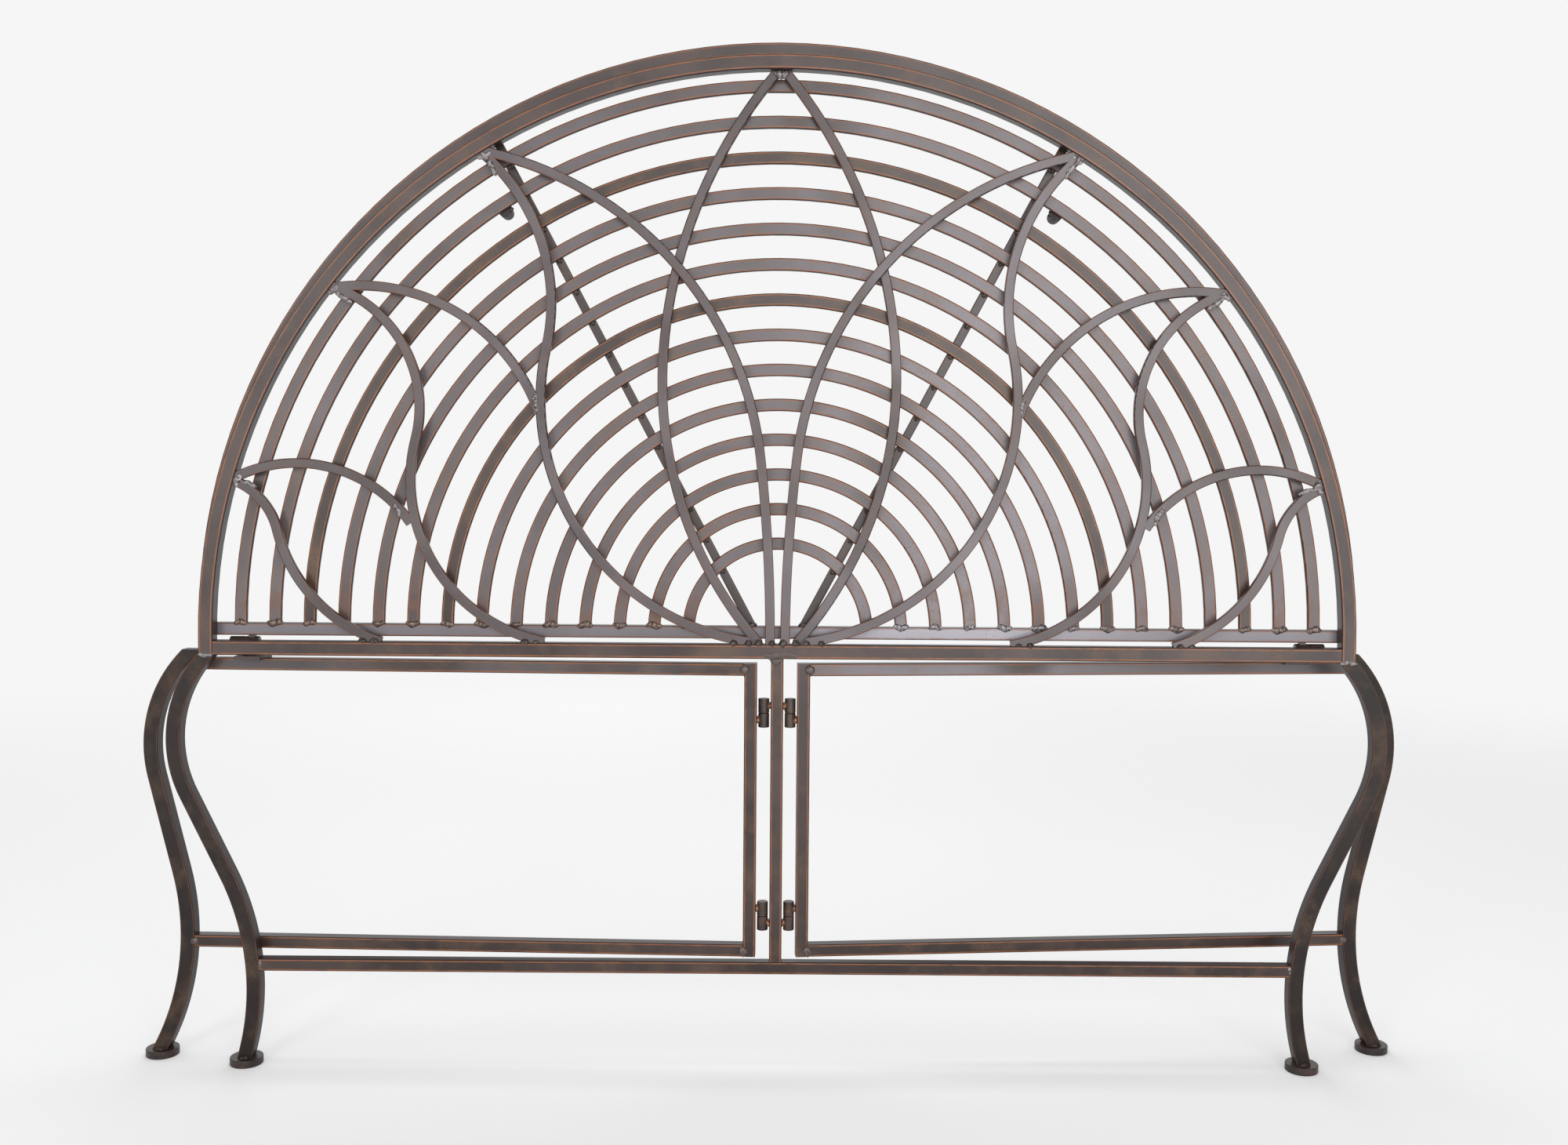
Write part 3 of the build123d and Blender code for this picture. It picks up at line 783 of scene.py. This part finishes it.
for side, sign in (("left", -1.0), ("right", 1.0)):
    gate = f"{side}_gate"
    post_low, post_high = low(f"{gate}_post"), high(f"{gate}_post")
    outer, inner = (post_high[0], post_low[0]) if sign > 0 else (post_low[0], post_high[0])
    front = post_low[1]
    rail_z = np.array([middle(f"{gate}_{which}_rail")[2] for which in ("top", "bottom")])
    rail_low, rail_high = low(f"{gate}_bottom_rail"), high(f"{gate}_bottom_rail")
    leg_end = rail_high[0] if sign > 0 else rail_low[0]
    leg_front = rail_high[1] - THIN_BAR
    tacks = row(outer - sign * 0.6 * MM, front + 0.7 * MM, rail_z)
    leg_tack = row(leg_end, leg_front + 0.6 * MM, rail_z[1])
    seams = row(outer, front + 0.15 * MM, rail_z)
    lugs = row(inner - sign * 1.0 * MM, FRAME_Y - 2.0 * MM, knuckle_levels(f"{gate}_barrels"))
    weld_piece(
        f"{gate}_welds",
        gate,
        TACK_WELD,
        "gate_paint",
        beads(tacks, ACROSS, FRONT, mm(9.6, 9.6, 1.8), lobes=0.0, wander=0.02, seed=31),
        beads(leg_tack, ACROSS, FRONT, mm(8.6, 8.6, 1.6), lobes=0.0, wander=0.02, seed=33),
    )
    weld_piece(
        f"{gate}_seams",
        gate,
        DARK_WELD,
        "gate_paint",
        beads(seams, UP, FRONT, (THIN_BAR, *mm(1.0, 0.3)), lobes=0.0, wander=0.1, seed=35),
    )
    weld_piece(
        f"{gate}_hinge_welds",
        gate,
        COPPER_WELD,
        "hinge_paint",
        beads(lugs, ACROSS, FRONT, HINGE_WELD, lobes=0.0, seed=37),
    )
    weld_piece(f"{gate}_foot_weld", gate, DARK_WELD, "foot_paint", foot_welds(f"{gate}_foot"))


# Floor, light and camera

FLOOR_RADIUS = 5.0
FLOOR_RINGS = 8
FLOOR_STEPS = 64
FLOOR_PAPER = (0.86, 0.862, 0.865, 1.0)
FLOOR_LIFT = 0.17
FLOOR_FADE = (0.9, 3.4)
BACKDROP = 0.92
STUDIO_FRONT = 0.25
STUDIO_LIGHT = 0.40
# Steps in the direction's y between the room in front of the bench and the backdrop behind it
BEHIND = (-0.2, 0.3)
# The softboxes as bars mirror them: strength, then the spread of the direction across and up
MIRRORED_KEY = (4.4, (-0.14, 0.10, 0.34, 0.70), (-0.24, -0.02, 0.26, 0.56))
MIRRORED_FILL = (3.2, (-0.76, -0.44, -0.30, -0.10), (-0.18, 0.00, 0.26, 0.50))
# The lamps, all turned to the middle of the bench: place, size and power in watts
BENCH_MIDDLE = (0.0, 0.0, 0.55)
SOFTBOXES = {
    "key": ((0.80, -3.4, 0.85), (2.0, 1.7), 60.0),
    "fill": ((-1.53, -3.2, 1.07), (0.9, 1.4), 26.0),
    "overhead": ((0.0, 0.5, 3.2), (3.0, 2.0), 40.0),
    "rear": ((-0.70, 3.3, 1.30), (1.6, 1.4), 18.0),
}
CAMERA_PLACE = (0.0049, -1.5500, 0.6223)
CAMERA_YAW, CAMERA_PITCH, CAMERA_ROLL = radians(0.090), radians(3.673), radians(0.436)
SENSOR_WIDTH = 36.0
LENS = 33.76


def floor_disc():
    """Flat disc: radius R q on a polar grid of q and angle; its paper fades out towards the rim."""
    reach = np.linspace(0.0, FLOOR_RADIUS, FLOOR_RINGS + 1)[1:]
    angles = np.linspace(0.0, 2.0 * np.pi, FLOOR_STEPS, endpoint=False)
    r, a = np.meshgrid(reach, angles, indexing="ij")
    points = np.stack([r * np.cos(a), r * np.sin(a), np.zeros_like(r)], -1).reshape(-1, 3)
    upward_quads = ring_quads(FLOOR_RINGS, FLOOR_STEPS)[:, ::-1]
    mesh = bpy.data.meshes.new("floor")
    mesh.from_pydata(points, [], [list(range(FLOOR_STEPS)), *upward_quads.tolist()])
    f = new_finish("floor_paper")
    distance = f.node("ShaderNodeVectorMath", {0: f.place()}, out="Value", operation="LENGTH")
    seen = f.node("ShaderNodeLightPath", out="Is Camera Ray")
    paper = f.node("ShaderNodeBsdfDiffuse", {"Color": FLOOR_PAPER})
    lift = f.node("ShaderNodeEmission", {"Strength": FLOOR_LIFT * seen})
    sheet = f.node("ShaderNodeAddShader", {0: paper, 1: lift})
    clear = f.node("ShaderNodeBsdfTransparent")
    mixed = f.node("ShaderNodeMixShader", {0: distance.between(*FLOOR_FADE), 1: sheet, 2: clear})
    f.node("ShaderNodeOutputMaterial", {"Surface": mixed})
    mesh.materials.append(f.holder)
    floor = bpy.data.objects.new("floor", mesh)
    bpy.context.scene.collection.objects.link(floor)


def studio_world():
    """Even light from all round. Whatever looks at the world sees a pale backdrop, and bars mirror
    that backdrop behind the bench and, in front of it, a dimmer room with two softboxes."""
    f = Finish(bpy.data.worlds.new("studio"))
    seen = f.node("ShaderNodeLightPath", out="Is Camera Ray")
    through = f.node("ShaderNodeLightPath", out="Is Transmission Ray")
    mirrored = f.node("ShaderNodeLightPath", out="Is Glossy Ray")
    direction = f.node("ShaderNodeTexCoord", out="Generated")
    x, y, z = (f.node("ShaderNodeSeparateXYZ", {0: direction}, out=axis) for axis in "XYZ")
    behind = y.between(*BEHIND)
    mirror = STUDIO_FRONT + (BACKDROP - STUDIO_FRONT) * behind
    for strength, across, up in (MIRRORED_KEY, MIRRORED_FILL):
        mirror = mirror + strength * (1.0 - behind) * x.window(*across) * z.window(*up)
    light = STUDIO_LIGHT + mirrored * (mirror - STUDIO_LIGHT)
    looking = seen + through
    strength = light + looking * (BACKDROP - light)
    sky = f.node("ShaderNodeBackground", {"Color": (1.0, 1.0, 1.0, 1.0), "Strength": strength})
    f.node("ShaderNodeOutputWorld", {"Surface": sky})
    bpy.context.scene.world = f.holder


def softbox(name, place, size, power):
    """Rectangular lamp turned to the bench. It lights the bench; the world has its mirror image."""
    data = bpy.data.lights.new(name, "AREA")
    data.shape = "RECTANGLE"
    data.size, data.size_y = size
    data.energy = power
    lamp = bpy.data.objects.new(name, data)
    lamp.location = place
    lamp.rotation_euler = (Vector(BENCH_MIDDLE) - Vector(place)).to_track_quat("-Z", "Y").to_euler()
    lamp.visible_camera = False
    lamp.visible_glossy = False
    bpy.context.scene.collection.objects.link(lamp)


def photo_camera():
    """Camera in front of the bench, turned by yaw to the right, by pitch down and by roll clockwise."""
    flat = cos(CAMERA_PITCH)
    ahead = Vector((sin(CAMERA_YAW) * flat, cos(CAMERA_YAW) * flat, -sin(CAMERA_PITCH)))
    right = Vector((cos(CAMERA_YAW), -sin(CAMERA_YAW), 0.0))
    up = right.cross(ahead)
    rolled_right = cos(CAMERA_ROLL) * right + sin(CAMERA_ROLL) * up
    rolled_up = cos(CAMERA_ROLL) * up - sin(CAMERA_ROLL) * right
    data = bpy.data.cameras.new("camera")
    data.sensor_width = SENSOR_WIDTH
    data.lens = LENS
    camera = bpy.data.objects.new("camera", data)
    turn = Matrix((rolled_right, rolled_up, -ahead)).transposed()
    camera.matrix_world = Matrix.Translation(CAMERA_PLACE) @ turn.to_4x4()
    bpy.context.scene.collection.objects.link(camera)
    bpy.context.scene.camera = camera


floor_disc()
studio_world()
for lamp, (place, size, power) in SOFTBOXES.items():
    softbox(lamp, place, size, power)
photo_camera()
bpy.context.scene.view_settings.view_transform = "Standard"
